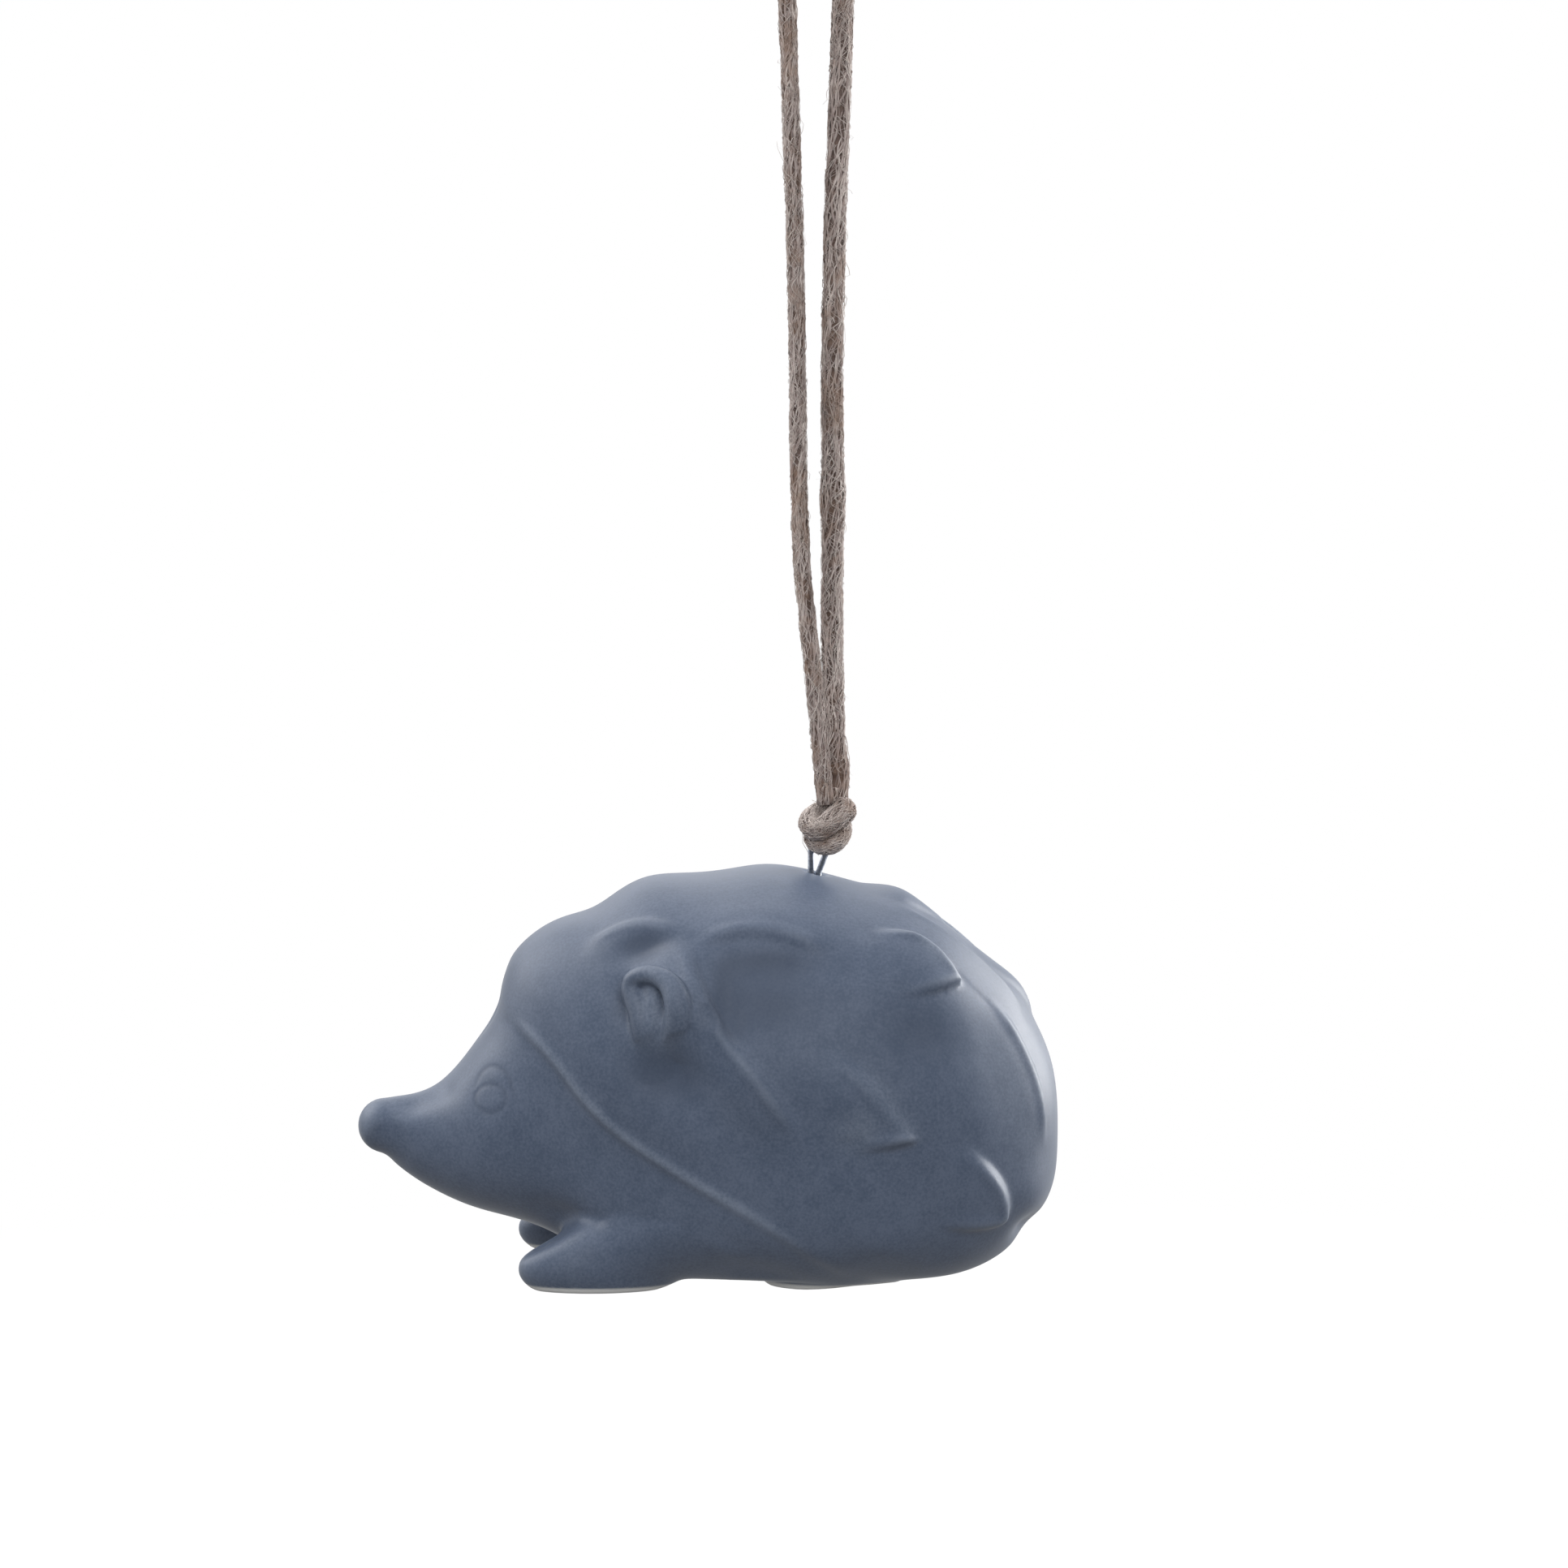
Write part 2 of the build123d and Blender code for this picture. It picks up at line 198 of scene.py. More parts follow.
class TubeMesh:
    """Gathers many tubes into one mesh, each with its own tone and a distance along it for streaks."""

    def __init__(self):
        self.points = []
        self.faces = []
        self.tones = []
        self.runs = []
        self.count = 0

    def tube(self, centres, across, above, radii, sides, tone=0.5):
        turns = np.linspace(0, 2 * np.pi, sides, endpoint=False)
        ring = (np.cos(turns)[None, :, None] * across[:, None, :]
                + np.sin(turns)[None, :, None] * above[:, None, :])
        points = centres[:, None, :] + radii[:, None, None] * ring
        rows = len(centres)
        index = self.count + np.arange(rows * sides).reshape(rows, sides)
        after = np.roll(index, -1, axis=1)
        quads = np.stack([index[:-1], after[:-1], after[1:], index[1:]], axis=-1)
        self.faces.extend(quads.reshape(-1, 4).tolist())
        self.faces.append(index[0, ::-1].tolist())
        self.faces.append(index[-1].tolist())
        self.points.append(points.reshape(-1, 3))
        self.tones.append(np.full(rows * sides, tone))
        steps = np.linalg.norm(np.diff(centres, axis=0), axis=1)
        run = np.concatenate([[0], np.cumsum(steps)]) + tone * streak_stagger
        self.runs.append(np.repeat(run, sides))
        self.count += rows * sides

    def made(self, name):
        mesh = bpy.data.meshes.new(name)
        mesh.from_pydata(np.concatenate(self.points).tolist(), [], self.faces)
        for attribute, values in (("tone", self.tones), ("run", self.runs)):
            store = mesh.attributes.new(attribute, "FLOAT", "POINT")
            store.data.foreach_set("value", np.concatenate(values).astype(np.float32))
        mesh.shade_smooth()
        mesh.validate()
        return added(name, mesh)


def waver(run, wavelengths, chance):
    """A smooth value that wanders along a line, within -1 to 1."""
    waves = [np.sin(2 * np.pi * (run / length + chance.random())) for length in wavelengths]
    return sum(waves) / len(waves)


def round_strand(reach, angle, across, above):
    """Offsets from a strand's middle, at a distance and an angle round it."""
    return reach[:, None] * (np.cos(angle)[:, None] * across + np.sin(angle)[:, None] * above)


def lay_fibres(bundle, line, radius, wander, chance):
    """Lays long fibres round a strand's dark core, which paints the shade between them, with an uneven
    groove between its two plies.
    """
    run, across, above = frames_along(line)
    # The dark core paints the shade between the fibres
    bundle.tube(line, across, above, radius * core_share, core_sides, core_shade_tone)
    groove = 2 * np.pi * run / twine_pitch + ply_wander * waver(run, PLY_WAVES, chance)
    for k in range(twine_fibres):
        start = 2 * np.pi * (k + chance.random()) / twine_fibres
        angle = start + fibre_twist * groove + wander * waver(run, FIBRE_WAVES, chance)
        from_groove = np.abs(np.sin(angle - groove))
        sink = ply_groove_depth * np.exp(-(from_groove / ply_groove_width) ** 2)
        lift = fibre_lift * waver(run, LIFT_WAVES, chance)
        thick = chance.uniform(*FIBRE_RADII) * mm
        thick = thick * (1 + fibre_unevenness * waver(run, RADIUS_WAVES, chance))
        reach = radius * (1 - sink + lift) - thick
        centres = line + round_strand(reach, angle, across, above)
        bundle.tube(centres, across, above, thick, fibre_sides, chance.betavariate(*FIBRE_TONES))


def at_runs(runs, run, vectors):
    """Vectors that go with a line, at given distances along it."""
    return np.stack([np.interp(runs, run, column) for column in vectors.T], axis=1)


def lay_hairs(bundle, line, radius, count, chance):
    """Pale single hairs that lie across a strand at odd angles, some of them standing off it."""
    run, across, above = frames_along(line)
    steps = np.linspace(0, 1, hair_points)
    for _ in range(count):
        length = chance.uniform(*HAIR_LENGTHS) * mm
        begin = chance.uniform(0, run[-1] - length)
        along = begin + length * steps
        spot = at_runs(along, run, line)
        side = unit(at_runs(along, run, across))
        up = unit(at_runs(along, run, above))
        size = np.interp(along, run, radius)
        angle = chance.uniform(0, 2 * np.pi) + chance.uniform(-hair_sweep, hair_sweep) * steps
        turns = steps * chance.uniform(*HAIR_TURNS) + chance.random()
        angle = angle + hair_wave * np.sin(2 * np.pi * turns)
        if chance.random() < loose_share:
            lift = chance.uniform(*LOOSE_LIFTS) * mm * steps ** 2
        else:
            lift = chance.uniform(*LAID_LIFTS) * mm * np.sin(np.pi * steps)
        centres = spot + round_strand(size + lift, angle, side, up)
        thick = np.full(len(steps), chance.uniform(*HAIR_RADII) * mm) * (1 - hair_taper * steps ** 3)
        bundle.tube(centres, side, up, thick, hair_sides, chance.uniform(*HAIR_TONES))


def laid_twine(name, line, radius, wander, hairs, chance):
    """A piece of twine: long fibres with hairs over them."""
    bundle = TubeMesh()
    lay_fibres(bundle, line, radius, wander, chance)
    lay_hairs(bundle, line, radius, hairs, chance)
    return bundle.made(name)


def strand_radius(line):
    """Radius along the loop: slim on the left, fuller on the right, swollen at the bulges."""
    run, _, _ = frames_along(line)
    blend = ramp(run / run[-1], *THICKENING)
    radius = left_radius + (right_radius - left_radius) * blend
    for height, swell, spread in BULGES:
        near = np.exp(-((line[:, 2] - height) / spread) ** 2) * blend
        radius = radius * (1 + swell * near)
    return radius


def twine_loop():
    chance = random.Random(twine_seed)
    line = smooth_line(LOOP_ROUTE, loop_fineness)
    radius = strand_radius(line)
    return laid_twine("twine_loop_fibres", line, radius, loop_wander, loop_hairs, chance), line


# Path of the doubled twine through the knot, in millimetres from the knot's middle
KNOT_PATH = [
    (0.55, 0.3, 4.00), (0.15, 0.8, 1.80), (-0.70, 1.0, -0.10), (-1.45, 0.5, -1.35), (-0.70, -0.5, -2.10),
    (0.75, -0.7, -1.85), (1.55, 0.2, -0.75), (1.15, 1.3, 0.55), (-0.20, 1.3, 1.15), (-1.50, 0.5, 0.80),
    (-1.95, -0.5, -0.05), (-1.15, -1.6, -0.55), (0.20, -1.8, 0.35), (1.15, -1.4, 1.25), (1.65, -0.3, 1.50),
    (1.50, 0.7, 1.15), (0.80, 1.2, 0.40),
]
knot_middle = (1.25 * mm, 0.0, -85.10 * mm)
knot_strand_radius = 1.02 * mm
knot_lobe = (1.60 * mm, -0.3 * mm, 1.45 * mm)
knot_lobe_reach = 1.6 * mm
knot_lobe_swell = 0.30
knot_fineness = 14
knot_wander = 1.6
knot_hairs = 560


def twine_knot():
    chance = random.Random(twine_seed + 1)
    line = smooth_line([tuple(value * mm for value in place) for place in KNOT_PATH], knot_fineness)
    from_lobe = np.linalg.norm(line - knot_lobe, axis=1)
    radius = knot_strand_radius * (1 + knot_lobe_swell * np.exp(-(from_lobe / knot_lobe_reach) ** 2))
    return laid_twine("twine_knot_fibres", line + knot_middle, radius, knot_wander, knot_hairs, chance)


# Meshes of the ceramic skin: their grain, and how far each is melted
first_grain = 0.30 * mm
skin_grain = 0.26 * mm
melt_share = 0.5
melt_rounds = 8
last_melt_rounds = 3

# The hanging hole in the back and the drain hole under the belly, which the skin has as blind bores
hole_radius = 1.0 * mm
vent_radius = 1.2 * mm
vent_place = -8.02 * mm
hole_depth = 2.6 * mm
bore_margin = 1.02
weld_reach = 1e-7

# A place in the middle of the body, from which its plain form is measured
body_middle = (-2.0 * mm, 0.0, sole_height + 18 * mm)


def outer_shell(node):
    """The outside of a hollow node as a closed mesh, with its two holes left as blind bores."""
    shell = bmesh.new()
    shell.from_mesh(node.data)
    bmesh.ops.remove_doubles(shell, verts=shell.verts, dist=weld_reach)
    bores = [(0.0, hole_radius), (vent_place, vent_radius)]

    def on_bore(vertex):
        return any(math.hypot(vertex.co.x - place, vertex.co.y) < radius * bore_margin
                   for place, radius in bores)

    walls = [face for face in shell.faces if all(on_bore(vertex) for vertex in face.verts)]
    bmesh.ops.delete(shell, geom=walls, context="FACES")
    shell.verts.ensure_lookup_table()
    front = min(shell.verts, key=lambda vertex: vertex.co.x)
    reached = {front}
    waiting = [front]
    while waiting:
        vertex = waiting.pop()
        for edge in vertex.link_edges:
            other = edge.other_vert(vertex)
            if other not in reached:
                reached.add(other)
                waiting.append(other)
    inside = [vertex for vertex in shell.verts if vertex not in reached]
    bmesh.ops.delete(shell, geom=inside, context="VERTS")
    rims = [edge for edge in shell.edges if edge.is_boundary]
    grown = bmesh.ops.extrude_edge_only(shell, edges=rims)["geom"]
    for vertex in grown:
        if isinstance(vertex, bmesh.types.BMVert):
            inward = -1 if vertex.co.z > body_middle[2] else 1
            vertex.co.z += inward * hole_depth
    bmesh.ops.holes_fill(shell, edges=[edge for edge in shell.edges if edge.is_boundary])
    bmesh.ops.recalc_face_normals(shell, faces=shell.faces)
    mesh = bpy.data.meshes.new("ceramic_skin")
    shell.to_mesh(mesh)
    shell.free()
    return mesh


def applied(piece):
    """Replaces a piece's mesh by what its modifiers make of it."""
    made = bpy.data.meshes.new_from_object(piece.evaluated_get(bpy.context.evaluated_depsgraph_get()))
    piece.modifiers.clear()
    old = piece.data
    piece.data = made
    bpy.data.meshes.remove(old)


class Surface:
    """A mesh's points, normals and neighbours as arrays, for shaping and measuring it."""

    def __init__(self, mesh):
        count = len(mesh.vertices)
        self.mesh = mesh
        self.points = np.empty(count * 3)
        mesh.vertices.foreach_get("co", self.points)
        self.points = self.points.reshape(-1, 3)
        pairs = np.empty(len(mesh.edges) * 2, np.int32)
        mesh.edges.foreach_get("vertices", pairs)
        pairs = pairs.reshape(-1, 2)
        self.near = np.concatenate([pairs[:, 0], pairs[:, 1]])
        self.far = np.concatenate([pairs[:, 1], pairs[:, 0]])
        self.valence = np.maximum(np.bincount(self.near, minlength=count), 1)

    def normals(self):
        found = np.empty(len(self.points) * 3)
        self.mesh.vertices.foreach_get("normal", found)
        return found.reshape(-1, 3)

    def spread(self, values):
        """Each point's mean over its neighbours."""
        if values.ndim == 2:
            return np.stack([self.spread(column) for column in values.T], axis=1)
        return np.bincount(self.near, values[self.far], len(self.valence)) / self.valence

    def relax(self, share, rounds):
        """Smooths the points, each by its share."""
        for _ in range(rounds):
            self.points += (self.spread(self.points) - self.points) * share[:, None]
        self.write()

    def store(self, name, values):
        attribute = self.mesh.attributes.new(name, "FLOAT", "POINT")
        attribute.data.foreach_set("value", values.astype(np.float32))

    def write(self):
        self.mesh.vertices.foreach_set("co", self.points.ravel())
        self.mesh.update()


# Places of the relief on the near flank, read off the photograph in pixels. The far flank mirrors it.

# Stretches of the solid that are made plain for the relief: centre mark and radius in millimetres
PLAIN_SPOTS = [
    ((952, 1165), 6.5), ((1128, 1192), 6.5), ((925, 1250), 5.0), ((930, 1315), 5.5), ((1080, 1350), 7.0),
    ((1195, 1480), 7.0), ((1250, 1300), 6.5), ((1262, 1380), 5.0), ((812, 1245), 7.5),
]
plain_fade = 4.5 * mm
plain_margin = 0.8 * mm
plain_rounds = 60
least_known = 0.02
back_degree = 7
EYE_SPOT = ((606, 1347), 2.6)
eye_plain_fade = 1.6 * mm
eye_surround = 8.0 * mm
eye_degree = 4
hem_plain_width = 2.0 * mm
hem_plain_fade = 4.5 * mm
hem_surround = 9.0 * mm
hem_degree = 6

# A straight line along the hem, with the back above it: where it starts at the front, and its slope
hem_front = (-31.5 * mm, sole_height + 31.5 * mm)
hem_slope = -0.77

# The eye's engraved lines: a ring, with its centre mark and half sizes in pixels, and the lid's crease
EYE_RING = ((604, 1354), 19.0, 17.5)
LID_CREASE = [(583, 1348), (588, 1326), (605, 1311), (623, 1321), (631, 1340), (636, 1362)]
LID_FADES = (0.0, 0.2, 0.8, 1.0)
ring_marks = 16
groove_depth = 0.045 * mm
groove_width = 0.32 * mm
# How dark the engraved lines are painted, as pooled glaze and painted shade
groove_pool_and_shade = 0.35

# Spots with a finer mesh: centre mark and radius in millimetres
FINE_SPOTS = [((607, 1345), 4.0), ((808, 1245), 6.5)]

# Clay rolls on the near flank: marks, each with how far the roll stands out and its radius in millimetres.
# The ear's front edge, roof and rear rim are one roll and its pad the next. The last is the foreleg's.
CLAY_ROLLS = [
    [((797, 1308), -1.2, 1.1), ((792, 1278), -0.25, 1.15), ((789, 1246), 0.2, 1.1),
     ((778, 1216), 0.55, 0.95), ((790, 1205), 0.9, 0.95), ((810, 1204), 1.0, 1.0),
     ((831, 1214), 0.95, 1.15), ((841, 1240), 0.6, 1.4), ((834, 1270), -0.5, 1.6),
     ((818, 1296), -1.7, 1.7), ((800, 1314), -2.6, 1.6)],
    [((802, 1302), -1.3, 1.4), ((803, 1274), -0.6, 1.5), ((804, 1250), -0.6, 1.4),
     ((804, 1226), -0.4, 1.3), ((803, 1208), 0.1, 0.8)],
    [((672, 1562), -2.6, 2.4), ((715, 1542), -3.0, 3.2), ((765, 1535), -3.4, 3.8),
     ((830, 1545), -4.0, 4.2)],
]
roll_sides = 18
roll_fineness = 10

# Joins that are worked smooth, and the nose: centre mark and radius in millimetres
SOFT_SPOTS = [
    ((800, 1565), 5.5), ((765, 1542), 4.0), ((850, 1560), 5.0), ((804, 1306), 2.6), ((840, 1290), 1.8),
    ((868, 1255), 1.6), ((482, 1415), 3.0),
]
soft_core = 0.5
soft_height = 2 * mm
soft_rounds = 90

# Hollows of the near flank, where the glaze pools and the shade in them is painted dark: centre mark, then
# half length, half height, half width and depth in millimetres
HOLLOWS = [
    ((795, 1166), 3.2, 1.6, 1.6, 0.8), ((770, 1238), 1.2, 2.4, 2.4, 0.5),
    ((822, 1322), 4.5, 3.2, 3.2, 0.8), ((945, 1190), 4.8, 1.8, 2.4, 0.65),
    ((898, 1240), 1.7, 4.0, 3.0, 0.8), ((948, 1240), 4.8, 3.8, 3.8, 0.6),
    ((1135, 1275), 4.5, 3.5, 3.5, 0.5),
]
# How dark the hollows are painted, as pooled glaze and painted shade, and the most of it
hollow_pool_and_shade = 1.1
hollow_pool_and_shade_most = 0.68

# Spots of the near flank that are pressed in, or raised where the depth is below 0, with the same values
PRESSED = [
    ((672, 1518), 4.5, 2.4, 2.4, 1.3), ((506, 1361), 2.0, 1.0, 1.6, 0.40),
    ((542, 1346), 2.4, 1.0, 1.6, 0.40), ((1272, 1472), 2.5, 2.5, 5.0, -0.4),
    ((1271, 1517), 1.6, 1.6, 6.0, 0.8),
]

# The same along the ridge of the back and under the nose, in the middle between the flanks
RIDGE = [
    ((727, 1117), 2.6, 2.6, 10.0, 0.45), ((793, 1083), 3.0, 3.0, 10.0, -0.4),
    ((945, 1072), 4.0, 3.0, 10.0, -0.3), ((1108, 1101), 2.6, 2.6, 10.0, -0.6),
    ((1262, 1218), 2.8, 2.8, 10.0, -0.45), ((478, 1423), 1.4, 1.4, 2.6, -0.65),
]

# Hem of the back over the face and belly, a raised bead
HEM = [
    (1075, 1580), (1000, 1542), (920, 1495), (830, 1443), (766, 1400), (718, 1355), (684, 1305),
    (646, 1266), (616, 1226),
]
HEM_FADES = (0.0, 0.2, 0.9, 1.0)
hem_bead_height = 0.32 * mm
hem_bead_width = 0.50 * mm
# How pale the bead is painted, as thinner glaze and painted highlight
hem_wear_and_highlight = 0.75

# Ledges: the marks of the edge with the raised side on its right, then its height, the reach of the raised
# side and the widths of the edge where it faces up and where it faces down, in millimetres, and how pale
# the glaze is painted along it, as thinner glaze and painted highlight. They are the upper tuft, the fold
# behind the ear, the middle and lower tufts, two edges of the rump, the ridge behind the ear and the fold
# above the ear.
LEDGES = [
    ([(1060, 1148), (1110, 1143), (1155, 1170), (1184, 1212), (1184, 1214), (1150, 1226), (1100, 1232)],
     1.05, 6.0, (1.3, 0.7), 0.7),
    ([(1020, 1184), (988, 1168), (945, 1158), (900, 1158), (855, 1170)], 0.75, 4.5, (2.0, 1.6), 0.0),
    ([(1020, 1278), (1066, 1318), (1104, 1362), (1134, 1405), (1134, 1407), (1090, 1420), (1040, 1424)],
     0.90, 5.0, (2.4, 1.0), 0.4),
    ([(1180, 1405), (1220, 1430), (1246, 1474), (1238, 1508), (1200, 1516), (1145, 1514)],
     0.95, 5.5, (1.4, 0.8), 0.7),
    ([(1095, 1110, -4.6), (1145, 1127, -4.8), (1182, 1147, -5.0), (1214, 1174, -5.2), (1242, 1206, -5.4),
      (1266, 1252, -5.6)], 0.60, 4.0, (1.6, 1.0), 0.3),
    ([(1215, 1222), (1248, 1262), (1275, 1318), (1288, 1372), (1288, 1420)], 0.55, 3.5, (1.0, 0.7), 0.6),
    ([(846, 1140), (862, 1194), (878, 1236), (898, 1272), (940, 1320), (982, 1378), (1008, 1420)],
     0.90, 4.0, (1.3, 1.3), 0.15),
    ([(712, 1164), (742, 1146), (778, 1131), (818, 1131), (852, 1146)], 0.45, 3.5, (1.3, 1.3), 0.2),
]
LEDGE_FADES = (0.0, 0.28, 0.72, 1.0)
LEDGE_INSIDE = (0.9 * mm, 2.2 * mm)
ledge_rounds = 90
least_raised = 0.1
edge_turn = 0.3

# Spots painted pale, as thinner glaze and painted highlight on the middle tuft, the ear and the near paw's
# top: centre mark, radius in millimetres and share
WORN_AND_HIGHLIT_SPOTS = [((1060, 1394), 2.2, 0.55), ((808, 1236), 4.0, 0.55), ((700, 1545), 2.5, 0.25)]
WEAR_AND_HIGHLIGHT_FADES = (0.05, 0.35, 0.65, 0.95)
wear_and_highlight_widths = 2

# How many widths beads and grooves reach beside their line, and how fine a line through marks is
side_widths = 4
mark_fineness = 5

# Rounds that spread the bend of edges, the height of bare sole, and the share of it that is wholly bare
edge_rounds = 8
bare_height = 0.80 * mm
bare_share = 0.6


class Flank:
    """Finds places on the near flank of a surface, and folds the far flank onto it."""

    def __init__(self, surface):
        polygons = [tuple(polygon.vertices) for polygon in surface.mesh.polygons]
        self.tree = BVHTree.FromPolygons([Vector(point) for point in surface.points], polygons)
        self.folded = surface.points * (1, 0, 1)
        self.folded[:, 1] = -np.abs(surface.points[:, 1])

    def place(self, mark):
        """The spot on the near flank that a mark in the photograph shows, and the outward direction there.

        A mark close to the outline has a third value, its place across in millimetres.
        """
        across, down, *depth = mark
        middle = image_side / 2
        ray = view_turn @ Vector((across - middle, middle - down, -focal_pixels)).normalized()
        spot, outward, _, _ = self.tree.ray_cast(view_place, ray)
        if depth:
            away = (depth[0] * mm - view_place.y) / ray.y
            spot, outward, _, _ = self.tree.find_nearest(view_place + ray * away)
        elif spot is None:
            spot, outward, _, _ = self.tree.find_nearest(view_place + ray * view_distance)
        near_side = (1, -1 if spot.y > 0 else 1, 1)
        return np.array(spot) * near_side, np.array(outward) * near_side

    def apart(self, mark):
        """How far each point lies from the spot that a mark shows."""
        spot, _ = self.place(mark)
        return np.linalg.norm(self.folded - spot, axis=1)

    def line(self, marks):
        return smooth_line([self.place(mark)[0] for mark in marks], mark_fineness)


def folded_normals(surface):
    """Normals with those of the far flank mirrored onto the near one."""
    return surface.normals() * np.where(surface.points[:, 1:2] > 0, (1.0, -1.0, 1.0), (1.0, 1.0, 1.0))


def beside(points, normals, line):
    """Distance from a line on the surface, above 0 on its right, the share of the line passed, and how far
    up its left side faces."""
    starts = line[:-1]
    spans = line[1:] - starts
    lengths = np.linalg.norm(spans, axis=1)
    run = np.concatenate([[0], np.cumsum(lengths)])
    share = np.einsum("pkc,kc->pk", points[:, None, :] - starts[None], spans) / lengths ** 2
    share = np.clip(share, 0, 1)
    closest = starts[None] + share[..., None] * spans[None]
    apart = np.linalg.norm(points[:, None, :] - closest, axis=2)
    best = apart.argmin(axis=1)
    rows = np.arange(len(points))
    gap = points - closest[rows, best]
    right = np.cross(unit(spans)[best], normals)
    signed = np.sign((gap * right).sum(axis=1)) * apart[rows, best]
    return signed, (run[best] + share[rows, best] * lengths[best]) / run[-1], -right[:, 2]


def beside_line(flank, normals, line, reach):
    """Which points may lie within reach of a line, and where those lie beside it."""
    low = line.min(axis=0) - reach
    high = line.max(axis=0) + reach
    near = ((flank.folded > low) & (flank.folded < high)).all(axis=1)
    return near, *beside(flank.folded[near], normals[near], line)


def faded_ends(along, fades):
    """1 along most of a line, falling to 0 at its ends."""
    start, full, fall, end = fades
    return ramp(along, start, full) * (1 - ramp(along, fall, end))


def clear_of_spots(flank, spots):
    """How far each point lies outside the nearest of some spots."""
    clear = np.full(len(flank.folded), np.inf)
    for mark, radius in spots:
        clear = np.minimum(clear, flank.apart(mark) - radius * mm)
    return clear


def clear_of_hem(flank, normals):
    """How far each point lies outside the band of the hem."""
    clear = np.full(len(flank.folded), np.inf)
    near, signed, _, _ = beside_line(flank, normals, flank.line(HEM), hem_surround + hem_plain_width)
    clear[near] = np.abs(signed) - hem_plain_width
    return clear


def made_plain(surface, flank, clear, fade, known, degree):
    """Evens out the solid's own small features: they follow a smooth form fitted to what is known."""
    keep = ramp(clear, 0, fade)
    away = flank.folded - body_middle
    radius = np.linalg.norm(away, axis=1)
    forward, side, up = (away / radius[:, None]).T
    terms = [forward ** i * up ** j * side ** k for k in (0, 1)
             for i in range(degree + 1) for j in range(degree + 1 - i - k)]
    terms = np.stack(terms, axis=1)
    known = known & (clear > plain_margin)
    weights, _, _, _ = np.linalg.lstsq(terms[known], radius[known], rcond=None)
    plain = terms @ weights
    misfit = np.where(known, radius - plain, 0.0)
    near = known.astype(float)
    for _ in range(plain_rounds):
        misfit = surface.spread(misfit)
        near = surface.spread(near)
    plain = plain + misfit / (near + least_known)
    moved = (plain - radius) * (1 - keep)
    outward = (surface.points - body_middle) / radius[:, None]
    surface.points += outward * moved[:, None]
    surface.write()


def plain_back(surface):
    flank = Flank(surface)
    above_hem = flank.folded[:, 2] > hem_front[1] + hem_slope * (flank.folded[:, 0] - hem_front[0])
    made_plain(surface, flank, clear_of_spots(flank, PLAIN_SPOTS), plain_fade, above_hem, back_degree)


def plain_eyes(surface):
    flank = Flank(surface)
    clear = clear_of_spots(flank, [EYE_SPOT])
    made_plain(surface, flank, clear, eye_plain_fade, clear < eye_surround, eye_degree)


def plain_hem(surface):
    flank = Flank(surface)
    clear = clear_of_hem(flank, folded_normals(surface))
    made_plain(surface, flank, clear, hem_plain_fade, clear < hem_surround, hem_degree)


def edge_width(widths, facing):
    """Width of a ledge's edge, which goes from its lower to its upper width as the edge turns up."""
    upper, lower = widths
    return (lower + (upper - lower) * ramp(facing, -edge_turn, edge_turn)) * mm


def ledge_height(surface, flank, normals, ledge):
    """Height of one ledge over the surface: a crease, a shoulder and a long fall that is smooth inside."""
    marks, height, reach, widths, _ = ledge
    line = flank.line(marks)
    near, signed, along, facing = beside_line(flank, normals, line, (reach + max(widths)) * mm)
    width = edge_width(widths, facing)
    rise = 1 - (1 - np.clip(signed / width, 0, 1)) ** 2
    fall = 1 - ramp(signed, width, width + reach * mm)
    lift = np.zeros(len(flank.folded))
    inside = np.zeros(len(flank.folded))
    raised = np.zeros(len(flank.folded))
    lift[near] = height * mm * faded_ends(along, LEDGE_FADES) * rise * fall
    inside[near] = ramp(signed, *LEDGE_INSIDE)
    raised[near] = signed > 0
    soft = lift
    for _ in range(ledge_rounds):
        soft = surface.spread(soft)
        raised = surface.spread(raised)
    return lift + (soft / np.maximum(raised, least_raised) - lift) * inside


def hem_bead(surface):
    """Share of the hem's bead at each point."""
    flank = Flank(surface)
    normals = folded_normals(surface)
    near, signed, along, _ = beside_line(flank, normals, flank.line(HEM), side_widths * hem_bead_width)
    share = np.zeros(len(surface.points))
    share[near] = faded_ends(along, HEM_FADES) * np.exp(-(signed / hem_bead_width) ** 2)
    return share


def raise_ledges(surface):
    """Lifts the leaf-shaped edges of the tufts and the bead of the hem out of both flanks."""
    flank = Flank(surface)
    normals = folded_normals(surface)
    lift = hem_bead_height * hem_bead(surface)
    for ledge in LEDGES:
        lift = lift + ledge_height(surface, flank, normals, ledge)
    surface.points += surface.normals() * lift[:, None]
    surface.write()


def spot_depth(flank, spots, across=1):
    """Depth of some hollows and mounds in millimetres. With across at 0 they lie between the flanks."""
    depth = np.zeros(len(flank.folded))
    for mark, half_length, half_height, half_width, deep in spots:
        spot = flank.place(mark)[0] * (1, across, 1)
        away = (flank.folded - spot) / (half_length * mm, half_width * mm, half_height * mm)
        depth += deep * np.exp(-(away ** 2).sum(axis=1))
    return depth


def press_spots(surface):
    """Presses the hollows round the ears and under the folds into both flanks, and shapes the outline."""
    flank = Flank(surface)
    depth = spot_depth(flank, HOLLOWS + PRESSED) + spot_depth(flank, RIDGE, across=0)
    surface.points -= surface.normals() * depth[:, None] * mm
    surface.write()


